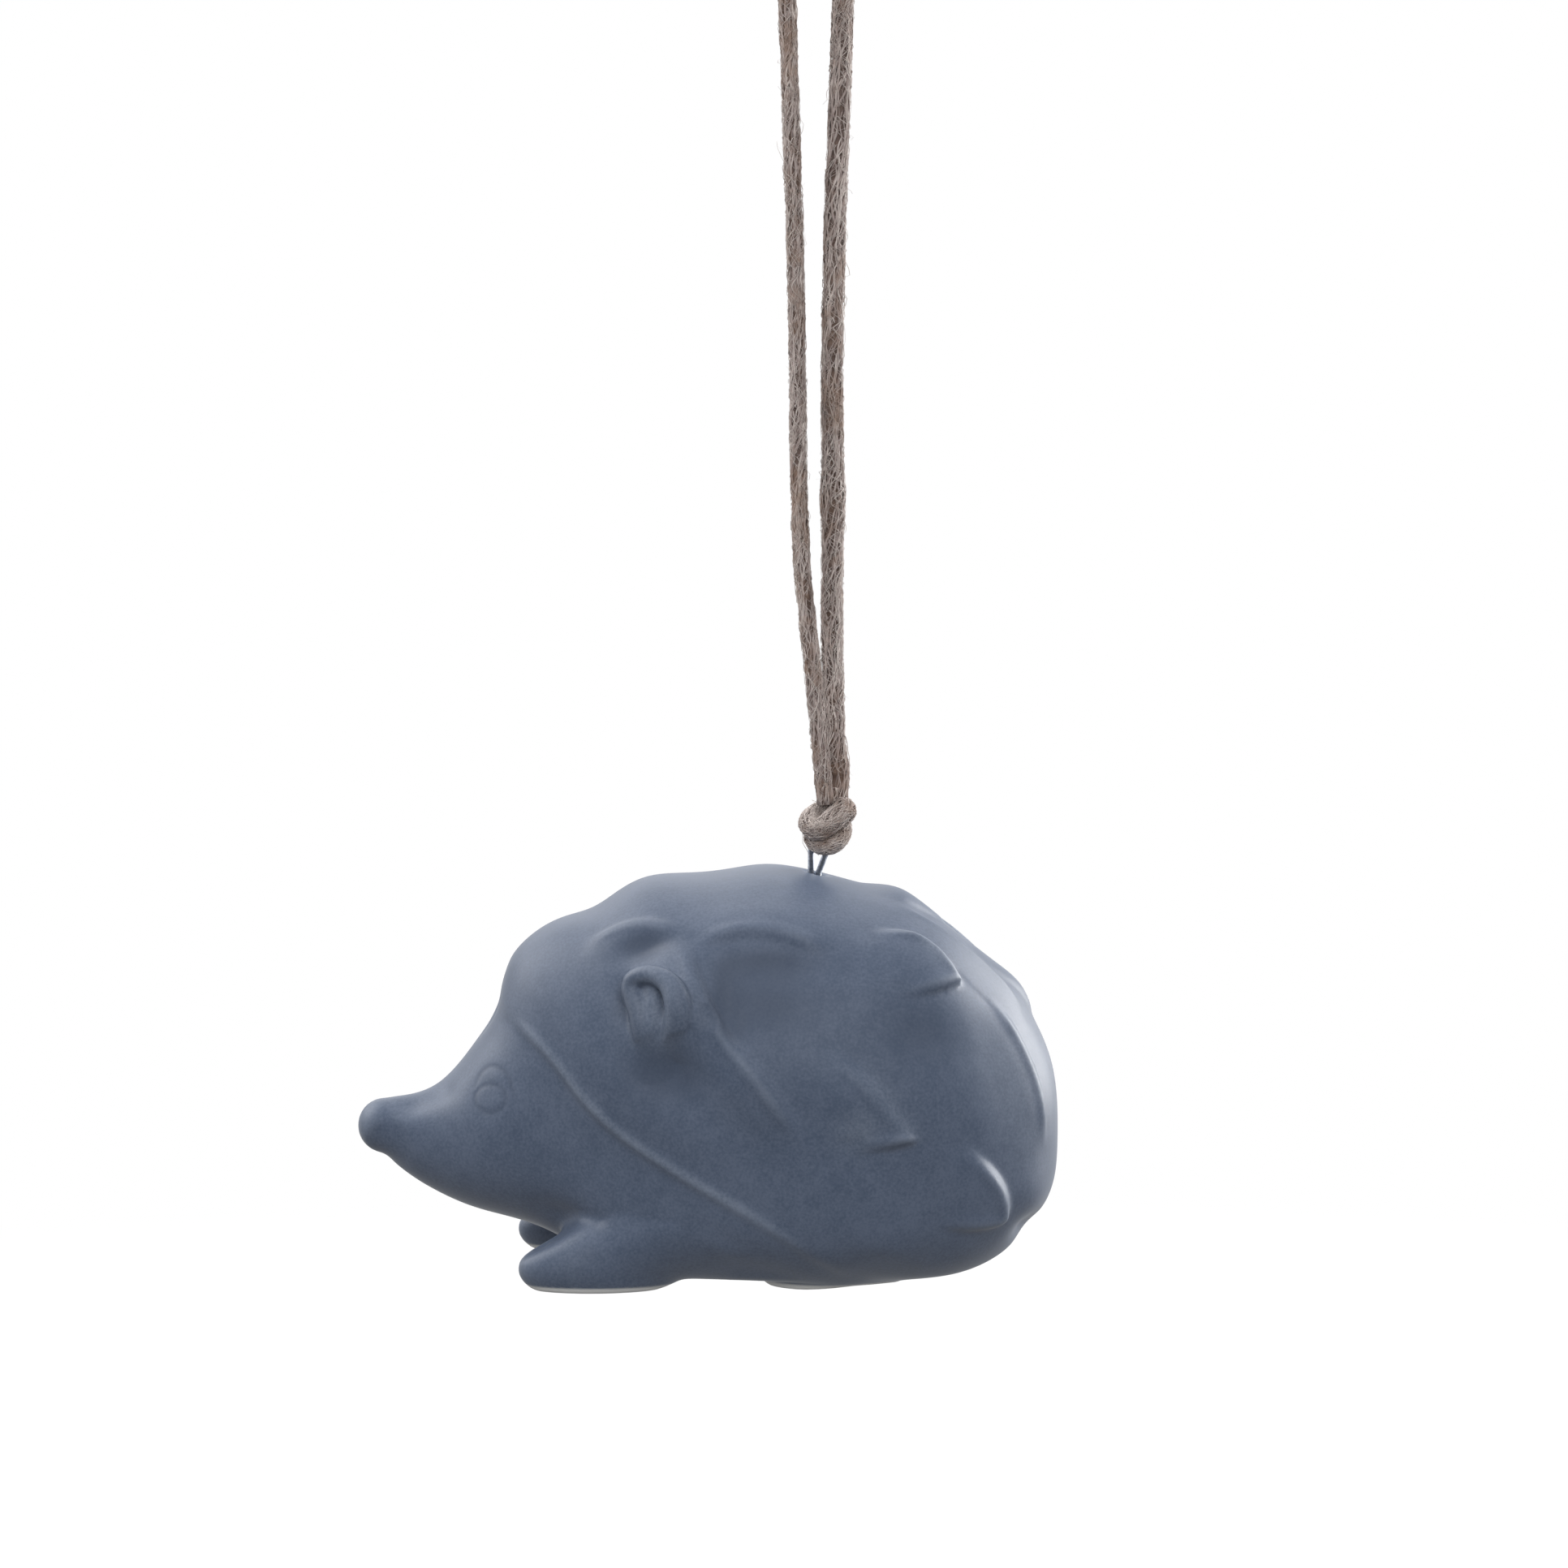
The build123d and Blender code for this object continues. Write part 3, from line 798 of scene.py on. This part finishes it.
def clay_rolls(surface):
    """Rolls of clay laid on both flanks."""
    flank = Flank(surface)
    bundle = TubeMesh()
    for roll in CLAY_ROLLS:
        places = []
        for mark, stand, _ in roll:
            spot, outward = flank.place(mark)
            places.append(spot + outward * stand * mm)
        line = smooth_line(places, roll_fineness)
        passed = np.linspace(0, 1, len(line))
        radii = np.interp(passed, np.linspace(0, 1, len(roll)), [radius * mm for _, _, radius in roll])
        for mirror in (1, -1):
            side_line = line * (1, mirror, 1)
            _, across, above = frames_along(side_line)
            bundle.tube(side_line, across, above, radii, roll_sides)
    return bundle.made("clay_rolls")


def joined(first, second):
    """Adds the second piece's mesh to the first and deletes the second."""
    both = bmesh.new()
    both.from_mesh(first.data)
    both.from_mesh(second.data)
    both.to_mesh(first.data)
    both.free()
    bpy.data.objects.remove(second)


def remeshed(piece, grain, rounds):
    """Gives a piece an even mesh, its edges melted a little as glaze does."""
    remesh = piece.modifiers.new("grain", "REMESH")
    remesh.mode = "VOXEL"
    remesh.voxel_size = grain
    melt = piece.modifiers.new("melt", "SMOOTH")
    melt.factor = melt_share
    melt.iterations = rounds
    applied(piece)
    return Surface(piece.data)


def refined(piece):
    """Splits the mesh finer round the eyes and the ears."""
    flank = Flank(Surface(piece.data))
    fine = np.zeros(len(flank.folded), bool)
    for mark, radius in FINE_SPOTS:
        fine |= flank.apart(mark) < radius * mm
    shape = bmesh.new()
    shape.from_mesh(piece.data)
    shape.verts.ensure_lookup_table()
    edges = [edge for edge in shape.edges if fine[edge.verts[0].index] and fine[edge.verts[1].index]]
    bmesh.ops.subdivide_edges(shape, edges=edges, cuts=1, use_grid_fill=True, smooth=1.0)
    shape.to_mesh(piece.data)
    shape.free()
    return Surface(piece.data)


def eye_lines(flank):
    """The engraved lines of the near eye."""
    (across, down), half_length, half_height = EYE_RING
    turns = np.linspace(0, 2 * np.pi, ring_marks + 1)
    ring = [(across + half_length * math.cos(turn), down + half_height * math.sin(turn)) for turn in turns]
    return [np.array([flank.place(mark)[0] for mark in ring]), flank.line(LID_CREASE)]


def engrave_eyes(surface):
    """Engraves both eyes, and gives the share of the engraving at each point."""
    flank = Flank(surface)
    normals = folded_normals(surface)
    depth = np.zeros(len(surface.points))
    for line in eye_lines(flank):
        near, signed, along, _ = beside_line(flank, normals, line, side_widths * groove_width)
        closed = np.linalg.norm(line[0] - line[-1]) < groove_width
        ends = 1.0 if closed else faded_ends(along, LID_FADES)
        depth[near] = np.maximum(depth[near], ends * np.exp(-(signed / groove_width) ** 2))
    surface.points -= surface.normals() * depth[:, None] * groove_depth
    surface.write()
    return depth


def soften(surface):
    """Works the joins of the forelegs and ears into the body, and smooths the nose."""
    flank = Flank(surface)
    share = np.zeros(len(surface.points))
    for mark, radius in SOFT_SPOTS:
        share = np.maximum(share, 1 - ramp(flank.apart(mark), radius * mm * soft_core, radius * mm))
    share = share * ramp(surface.points[:, 2] - sole_height, bare_height, soft_height)
    surface.relax(share, soft_rounds)


def thin_glaze_and_highlights(surface):
    """Where the glaze is painted pale, as thinner glaze and painted highlight: along the ledges and the
    hem, and in the pale spots.
    """
    flank = Flank(surface)
    normals = folded_normals(surface)
    thin_and_highlit = hem_wear_and_highlight * hem_bead(surface)
    for marks, _, _, widths, wear_and_highlight in LEDGES:
        reach = wear_and_highlight_widths * max(widths) * mm
        near, signed, along, facing = beside_line(flank, normals, flank.line(marks), reach)
        width = edge_width(widths, facing) / 2
        worn_and_highlit = wear_and_highlight * faded_ends(along, WEAR_AND_HIGHLIGHT_FADES) * np.exp(-((signed - width / 2) / width) ** 2)
        thin_and_highlit[near] = np.maximum(thin_and_highlit[near], worn_and_highlit)
    for mark, radius, share in WORN_AND_HIGHLIT_SPOTS:
        thin_and_highlit = np.maximum(thin_and_highlit, share * np.exp(-(flank.apart(mark) / (radius * mm)) ** 2))
    return thin_and_highlit


def mark_finish(surface, grooves):
    """Stores the bend over edges, where the glaze is painted pale as thinner glaze and highlight, where it
    is painted dark as pooled glaze and shade, and where the soles are bare.
    """
    bend = -((surface.spread(surface.points) - surface.points) * surface.normals()).sum(axis=1) / skin_grain
    for _ in range(edge_rounds):
        bend = surface.spread(bend)
    surface.store("edge", bend)
    surface.store("thin_and_highlit", thin_glaze_and_highlights(surface))
    # Hollows and the eyes' engraved lines are painted dark: pooled glaze and painted shade
    hollows = np.minimum(spot_depth(Flank(surface), HOLLOWS) * hollow_pool_and_shade, hollow_pool_and_shade_most)
    surface.store("pool_and_shade", np.maximum(grooves * groove_pool_and_shade, hollows))
    height = surface.points[:, 2] - sole_height
    surface.store("bare", 1 - ramp(height, bare_height * bare_share, bare_height))


def ceramic_skin():
    skin = added("ceramic_skin", outer_shell(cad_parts["ceramic_body"]))
    surface = remeshed(skin, first_grain, melt_rounds)
    plain_back(surface)
    plain_eyes(surface)
    plain_hem(surface)
    press_spots(surface)
    raise_ledges(surface)
    joined(skin, clay_rolls(surface))
    soften(remeshed(skin, skin_grain, last_melt_rounds))
    surface = refined(skin)
    mark_finish(surface, engrave_eyes(surface))
    skin.data.materials.clear()
    skin.data.shade_smooth()
    return skin


def new_material(name):
    material = bpy.data.materials.new(name)
    material.use_nodes = True
    tree = material.node_tree
    return material, tree, tree.nodes["Principled BSDF"]


# Detail of the noises in an uneven tone, and the share of its mottles beside its clouds
tone_detail = 3.0
mottle_share = 0.5


def uneven_tone():
    """A node group that gives a patchy value about 0.5: broad clouds, smaller mottles and fine grain."""
    group = bpy.data.node_groups.new("uneven_tone", "ShaderNodeTree")
    group.interface.new_socket("Place", in_out="INPUT", socket_type="NodeSocketVector")
    for socket in ("Clouds", "Mottles", "Grain", "Grain Share"):
        group.interface.new_socket(socket, in_out="INPUT", socket_type="NodeSocketFloat")
    group.interface.new_socket("Tone", in_out="OUTPUT", socket_type="NodeSocketFloat")
    start = group.nodes.new("NodeGroupInput")
    end = group.nodes.new("NodeGroupOutput")
    layers = []
    for socket in ("Clouds", "Mottles", "Grain"):
        noise = group.nodes.new("ShaderNodeTexNoise")
        noise.inputs["Detail"].default_value = tone_detail
        group.links.new(start.outputs["Place"], noise.inputs["Vector"])
        group.links.new(start.outputs[socket], noise.inputs["Scale"])
        layers.append(noise)
    broad = group.nodes.new("ShaderNodeMix")
    broad.inputs["Factor"].default_value = mottle_share
    group.links.new(layers[0].outputs["Fac"], broad.inputs["A"])
    group.links.new(layers[1].outputs["Fac"], broad.inputs["B"])
    fine = group.nodes.new("ShaderNodeMix")
    group.links.new(start.outputs["Grain Share"], fine.inputs["Factor"])
    group.links.new(broad.outputs["Result"], fine.inputs["A"])
    group.links.new(layers[2].outputs["Fac"], fine.inputs["B"])
    group.links.new(fine.outputs["Result"], end.inputs["Tone"])
    return group


def toned(tree, group, place, scales, grain_share):
    """Places the uneven tone in a material, with its own scales."""
    node = tree.nodes.new("ShaderNodeGroup")
    node.node_tree = group
    for socket, scale in zip(("Clouds", "Mottles", "Grain"), scales):
        node.inputs[socket].default_value = scale
    node.inputs["Grain Share"].default_value = grain_share
    tree.links.new(place, node.inputs["Place"])
    return node.outputs["Tone"]


def object_place(tree):
    return tree.nodes.new("ShaderNodeTexCoord").outputs["Object"]


def stored(tree, name):
    node = tree.nodes.new("ShaderNodeAttribute")
    node.attribute_name = name
    return node.outputs["Fac"]


def remapped(tree, value, limits):
    """A value stretched from one range to another: the limits are low, high, new low and new high."""
    node = tree.nodes.new("ShaderNodeMapRange")
    for socket, limit in zip(("From Min", "From Max", "To Min", "To Max"), limits):
        node.inputs[socket].default_value = limit
    tree.links.new(value, node.inputs["Value"])
    return node.outputs["Result"]


def combined(tree, operation, first, second):
    node = tree.nodes.new("ShaderNodeMath")
    node.operation = operation
    tree.links.new(first, node.inputs[0])
    tree.links.new(second, node.inputs[1])
    return node.outputs["Value"]


# A mix node's sockets for colours, by number because those for other kinds have the same names
MIXED_COLOURS = (6, 7)
mix_result = 2


def colour_mix(tree, share, first, second):
    node = tree.nodes.new("ShaderNodeMix")
    node.data_type = "RGBA"
    tree.links.new(share, node.inputs["Factor"])
    for number, colour in zip(MIXED_COLOURS, (first, second)):
        if isinstance(colour, tuple):
            node.inputs[number].default_value = (*colour, 1)
        else:
            tree.links.new(colour, node.inputs[number])
    return node.outputs[mix_result]


def shader_mix(tree, share, first, second):
    node = tree.nodes.new("ShaderNodeMixShader")
    tree.links.new(share, node.inputs["Fac"])
    tree.links.new(first, node.inputs[1])
    tree.links.new(second, node.inputs[2])
    return node.outputs["Shader"]


def colour_ramp(tree, value, stops):
    node = tree.nodes.new("ShaderNodeValToRGB")
    elements = node.color_ramp.elements
    while len(elements) < len(stops):
        elements.new(stops[len(elements) - 1][0])
    for element, (place, colour) in zip(elements, stops):
        element.position = place
        element.color = (*colour, 1)
    tree.links.new(value, node.inputs["Fac"])
    return node.outputs["Color"]


# Slate glaze: its colours, the scales of its tone, and the limits of its ranges
# Pooled glaze and painted shade, for hollows, creases and the eyes' engraved lines
GLAZE_POOL_AND_SHADE = (0.050, 0.066, 0.102)
GLAZE_DARK = (0.070, 0.094, 0.144)
GLAZE_LIGHT = (0.106, 0.133, 0.192)
# Thinner glaze and painted highlight, for edges, ledges, the hem and the pale spots
GLAZE_THIN_AND_HIGHLIGHT = (0.215, 0.250, 0.310)
BARE_CLAY = (0.86, 0.86, 0.85)
GLAZE_SCALES = (70.0, 500.0, 3600.0)
glaze_grain = 0.5
BODY_TONES = (0.39, 0.61, 0.0, 1.0)
# Pale patches and convex edges are painted as thinner glaze and highlight; concave creases are painted dark
# as pooled glaze and shade
PATCHY_WEAR_AND_HIGHLIGHT = (0.35, 0.65, 0.30, 0.75)
EDGE_WEAR_AND_HIGHLIGHT = (0.015, 0.09, 0.0, 0.7)
CREASE_POOL_AND_SHADE = (-0.02, -0.12, 0.0, 0.8)
GLAZE_ROUGHNESS = (0.3, 0.7, 0.40, 0.50)
BARE_ROUGHNESS = (0.0, 1.0, 0.0, 0.85)
glaze_specular = 0.40
glaze_bump = 0.12
glaze_bump_depth = 0.05 * mm


def glaze(group):
    """Satin slate glaze: pooled dark with painted shade in the hollows, thinner and pale with painted
    highlight on the edges, bare clay on the soles.
    """
    material, tree, shader = new_material("slate_glaze")
    tone = toned(tree, group, object_place(tree), GLAZE_SCALES, glaze_grain)
    body = colour_mix(tree, remapped(tree, tone, BODY_TONES), GLAZE_DARK, GLAZE_LIGHT)
    patchy = combined(tree, "MULTIPLY", stored(tree, "thin_and_highlit"), remapped(tree, tone, PATCHY_WEAR_AND_HIGHLIGHT))
    edge = combined(tree, "MAXIMUM", remapped(tree, stored(tree, "edge"), EDGE_WEAR_AND_HIGHLIGHT), patchy)
    creases = remapped(tree, stored(tree, "edge"), CREASE_POOL_AND_SHADE)
    pool_and_shade = combined(tree, "MAXIMUM", creases, stored(tree, "pool_and_shade"))
    pooled_and_shaded = colour_mix(tree, pool_and_shade, body, GLAZE_POOL_AND_SHADE)
    worn_and_highlit = colour_mix(tree, edge, pooled_and_shaded, GLAZE_THIN_AND_HIGHLIGHT)
    colour = colour_mix(tree, stored(tree, "bare"), worn_and_highlit, BARE_CLAY)
    tree.links.new(colour, shader.inputs["Base Color"])
    satin = remapped(tree, tone, GLAZE_ROUGHNESS)
    rough = combined(tree, "MAXIMUM", satin, remapped(tree, stored(tree, "bare"), BARE_ROUGHNESS))
    tree.links.new(rough, shader.inputs["Roughness"])
    shader.inputs["Specular IOR Level"].default_value = glaze_specular
    bump = tree.nodes.new("ShaderNodeBump")
    bump.inputs["Strength"].default_value = glaze_bump
    bump.inputs["Distance"].default_value = glaze_bump_depth
    tree.links.new(tone, bump.inputs["Height"])
    tree.links.new(bump.outputs["Normal"], shader.inputs["Normal"])
    return material


# Jute: its colours, the scales of its streaks and patches, and the limits of their ranges
# The dark end is mostly the twine's core, a painted shade between the fibres
JUTE_DARK = (0.095, 0.062, 0.050)
JUTE_BODY = (0.360, 0.295, 0.275)
JUTE_PALE = (0.700, 0.630, 0.590)
JUTE_BROWN = (0.290, 0.195, 0.145)
JUTE_STOPS = [(0.0, JUTE_DARK), (0.5, JUTE_BODY), (1.0, JUTE_PALE)]
JUTE_SCALES = (90.0, 420.0, 900.0)
jute_grain = 0.4
PATCH_SCALES = (160.0, 520.0, 1500.0)
patch_grain = 0.2
STREAK_TONES = (0.3, 0.7, -0.20, 0.20)
PATCH_SHARES = (0.48, 0.64, 0.0, 0.7)
JUTE_ROUGHNESS = (0.3, 0.7, 0.62, 0.86)


def jute(group):
    """Dry jute: each fibre has its own shade with streaks along it, and the strand has brown patches."""
    material, tree, shader = new_material("jute_fibre")
    along = tree.nodes.new("ShaderNodeCombineXYZ")
    tree.links.new(stored(tree, "run"), along.inputs["X"])
    tree.links.new(stored(tree, "tone"), along.inputs["Y"])
    streak = toned(tree, group, along.outputs["Vector"], JUTE_SCALES, jute_grain)
    tone = combined(tree, "ADD", stored(tree, "tone"), remapped(tree, streak, STREAK_TONES))
    fibre = colour_ramp(tree, tone, JUTE_STOPS)
    patch = toned(tree, group, object_place(tree), PATCH_SCALES, patch_grain)
    colour = colour_mix(tree, remapped(tree, patch, PATCH_SHARES), fibre, JUTE_BROWN)
    tree.links.new(colour, shader.inputs["Base Color"])
    tree.links.new(remapped(tree, streak, JUTE_ROUGHNESS), shader.inputs["Roughness"])
    return material


# Steel wire: its colours, the scales of its tone, and the limits of its roughness
STEEL_DARK = (0.200, 0.230, 0.320)
STEEL_BODY = (0.640, 0.670, 0.720)
STEEL_STOPS = [(0.40, STEEL_DARK), (0.58, STEEL_BODY)]
STEEL_SCALES = (260.0, 900.0, 4000.0)
steel_grain = 0.3
STEEL_ROUGHNESS = (0.3, 0.7, 0.36, 0.54)


def steel(group):
    """Drawn steel wire, blued in patches."""
    material, tree, shader = new_material("wire_steel")
    tone = toned(tree, group, object_place(tree), STEEL_SCALES, steel_grain)
    tree.links.new(colour_ramp(tree, tone, STEEL_STOPS), shader.inputs["Base Color"])
    shader.inputs["Metallic"].default_value = 1.0
    tree.links.new(remapped(tree, tone, STEEL_ROUGHNESS), shader.inputs["Roughness"])
    return material


# Studio: the floor's places in metres and its greys, and limits of brightness over the depth of the room
floor_drop = 70 * mm
floor_reach = 6.0
shadow_reach = 0.45
shadow_white = 0.55
FLOOR_GREY = (0.14, 0.14, 0.14)
FLOOR_PALE = (0.9, 0.9, 0.9)
FLOOR_MIRRORED = (-0.25, 0.20, 0.12, 1.0)
WORLD_AMBIENT = (-0.8, 0.4, 0.20, 0.44)
WORLD_MIRRORED = (-0.7, 0.15, 0.10, 1.0)

# Softboxes: name, place and size in metres, watts, and whether glossy surfaces mirror them
SOFTBOXES = [
    ("top_softbox", (-0.15, 0.30, 0.30), 0.7, 1.55, True),
    ("left_softbox", (-0.45, 0.10, 0.20), 0.4, 1.6, True),
    ("rear_right_softbox", (0.50, 0.28, 0.05), 0.4, 4.2, True),
    ("front_fill", (0.0, -0.52, 0.22), 0.5, 2.95, False),
]


def studio_floor():
    """A pale floor below the ornament that turns to plain white away from its shadow."""
    mesh = bpy.data.meshes.new("floor")
    height = sole_height - floor_drop
    corners = [(-1, -1), (1, -1), (1, 1), (-1, 1)]
    mesh.from_pydata([(x * floor_reach, y * floor_reach, height) for x, y in corners], [], [(0, 1, 2, 3)])
    floor = added("floor", mesh)
    material, tree, _ = new_material("pale_floor")
    tree.nodes.clear()
    away = tree.nodes.new("ShaderNodeVectorMath")
    away.operation = "LENGTH"
    tree.links.new(object_place(tree), away.inputs[0])
    white_share = remapped(tree, away.outputs["Value"], (-height, shadow_reach, shadow_white, 1.0))
    depth = tree.nodes.new("ShaderNodeSeparateXYZ")
    tree.links.new(object_place(tree), depth.inputs["Vector"])
    rays = tree.nodes.new("ShaderNodeLightPath")
    mirrored = combined(tree, "MAXIMUM", rays.outputs["Is Glossy Ray"], rays.outputs["Is Transmission Ray"])
    matt = tree.nodes.new("ShaderNodeBsdfDiffuse")
    matt.inputs["Color"].default_value = (*FLOOR_GREY, 1)
    lit = tree.nodes.new("ShaderNodeBsdfDiffuse")
    lit.inputs["Color"].default_value = (*FLOOR_PALE, 1)
    white = tree.nodes.new("ShaderNodeEmission")
    dimmed = tree.nodes.new("ShaderNodeEmission")
    tree.links.new(remapped(tree, depth.outputs["Y"], FLOOR_MIRRORED), dimmed.inputs["Strength"])
    shown = shader_mix(tree, white_share, lit.outputs["BSDF"], white.outputs["Emission"])
    look = shader_mix(tree, mirrored, matt.outputs["BSDF"], dimmed.outputs["Emission"])
    look = shader_mix(tree, rays.outputs["Is Camera Ray"], look, shown)
    out = tree.nodes.new("ShaderNodeOutputMaterial")
    tree.links.new(look, out.inputs["Surface"])
    mesh.materials.append(material)


def studio_world():
    """White surroundings behind and beside the ornament, dim towards the camera's side of the room."""
    world = bpy.data.worlds.new("studio")
    bpy.context.scene.world = world
    world.use_nodes = True
    tree = world.node_tree
    tree.nodes.clear()
    parts = tree.nodes.new("ShaderNodeSeparateXYZ")
    tree.links.new(tree.nodes.new("ShaderNodeTexCoord").outputs["Generated"], parts.inputs["Vector"])
    depth = parts.outputs["Y"]
    ambient = tree.nodes.new("ShaderNodeBackground")
    tree.links.new(remapped(tree, depth, WORLD_AMBIENT), ambient.inputs["Strength"])
    mirrored = tree.nodes.new("ShaderNodeBackground")
    tree.links.new(remapped(tree, depth, WORLD_MIRRORED), mirrored.inputs["Strength"])
    backdrop = tree.nodes.new("ShaderNodeBackground")
    for background in (ambient, mirrored, backdrop):
        background.inputs["Color"].default_value = (1, 1, 1, 1)
    plain, glossy, seen = (node.outputs["Background"] for node in (ambient, mirrored, backdrop))
    rays = tree.nodes.new("ShaderNodeLightPath")
    look = shader_mix(tree, rays.outputs["Is Glossy Ray"], plain, glossy)
    look = shader_mix(tree, rays.outputs["Is Camera Ray"], look, seen)
    out = tree.nodes.new("ShaderNodeOutputWorld")
    tree.links.new(look, out.inputs["Surface"])


def softbox(name, place, size, watts, mirrored):
    lamp = bpy.data.lights.new(name, "AREA")
    lamp.shape = "SQUARE"
    lamp.size = size
    lamp.energy = watts
    holder = added(name, lamp)
    holder.location = place
    holder.visible_glossy = mirrored
    aim = lamp_aim - holder.location
    holder.rotation_mode = "QUATERNION"
    holder.rotation_quaternion = aim.to_track_quat("-Z", "Y")


def studio_camera():
    camera = bpy.data.cameras.new("photo_view")
    camera.sensor_width = sensor_width
    camera.lens = sensor_width * focal_pixels / image_side
    camera.clip_start = near_clip
    camera.clip_end = far_clip
    holder = added("photo_view", camera)
    holder.location = view_place
    holder.rotation_mode = "QUATERNION"
    holder.rotation_quaternion = view_turn
    bpy.context.scene.camera = holder


studio_camera()
studio_world()
studio_floor()
for row in SOFTBOXES:
    softbox(*row)
bpy.context.scene.view_settings.view_transform = "Standard"

loop, loop_line = twine_loop()
knot = twine_knot()
unevenness = uneven_tone()
jute_finish = jute(unevenness)
for piece in (loop, knot):
    piece.data.materials.append(jute_finish)
    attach(piece, "twine")
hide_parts("twine_loop")
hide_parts("twine_knot")

skin = ceramic_skin()
skin.data.materials.append(glaze(unevenness))
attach(skin, "hedgehog")
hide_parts("ceramic_body")

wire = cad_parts["wire_hanger"]
wire.data.materials.clear()
wire.data.materials.append(steel(unevenness))
